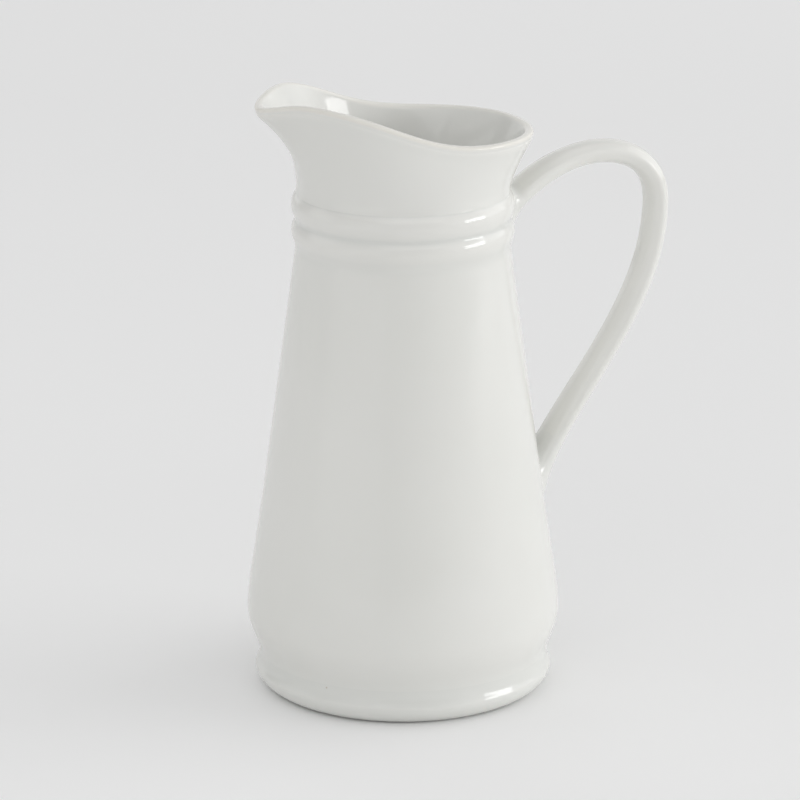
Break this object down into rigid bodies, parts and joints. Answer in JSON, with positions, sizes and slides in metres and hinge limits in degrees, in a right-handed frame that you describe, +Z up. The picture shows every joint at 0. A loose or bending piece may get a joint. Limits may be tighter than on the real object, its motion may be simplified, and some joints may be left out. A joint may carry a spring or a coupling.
{
  "type": "pitcher",
  "caption": "Tall white glazed ceramic pitcher with a tapered body, raised shoulder rings, a flared spouted mouth and a looped strap handle.",
  "frame": {"origin": "centre of the foot ring's resting face", "axes": "+Z up, +X towards the handle, -X towards the spout"},
  "size_m": [0.2088, 0.1474, 0.2885],
  "materials": {
    "glaze": "glossy"
  },
  "bodies": {
    "root": {"foot_ring": "glaze", "body": "glaze", "lower_bead": "glaze", "upper_bead": "glaze", "neck": "glaze", "handle": "glaze", "upper_handle_slip": "glaze", "lower_handle_slip": "glaze"}
  },
  "joints": []
}
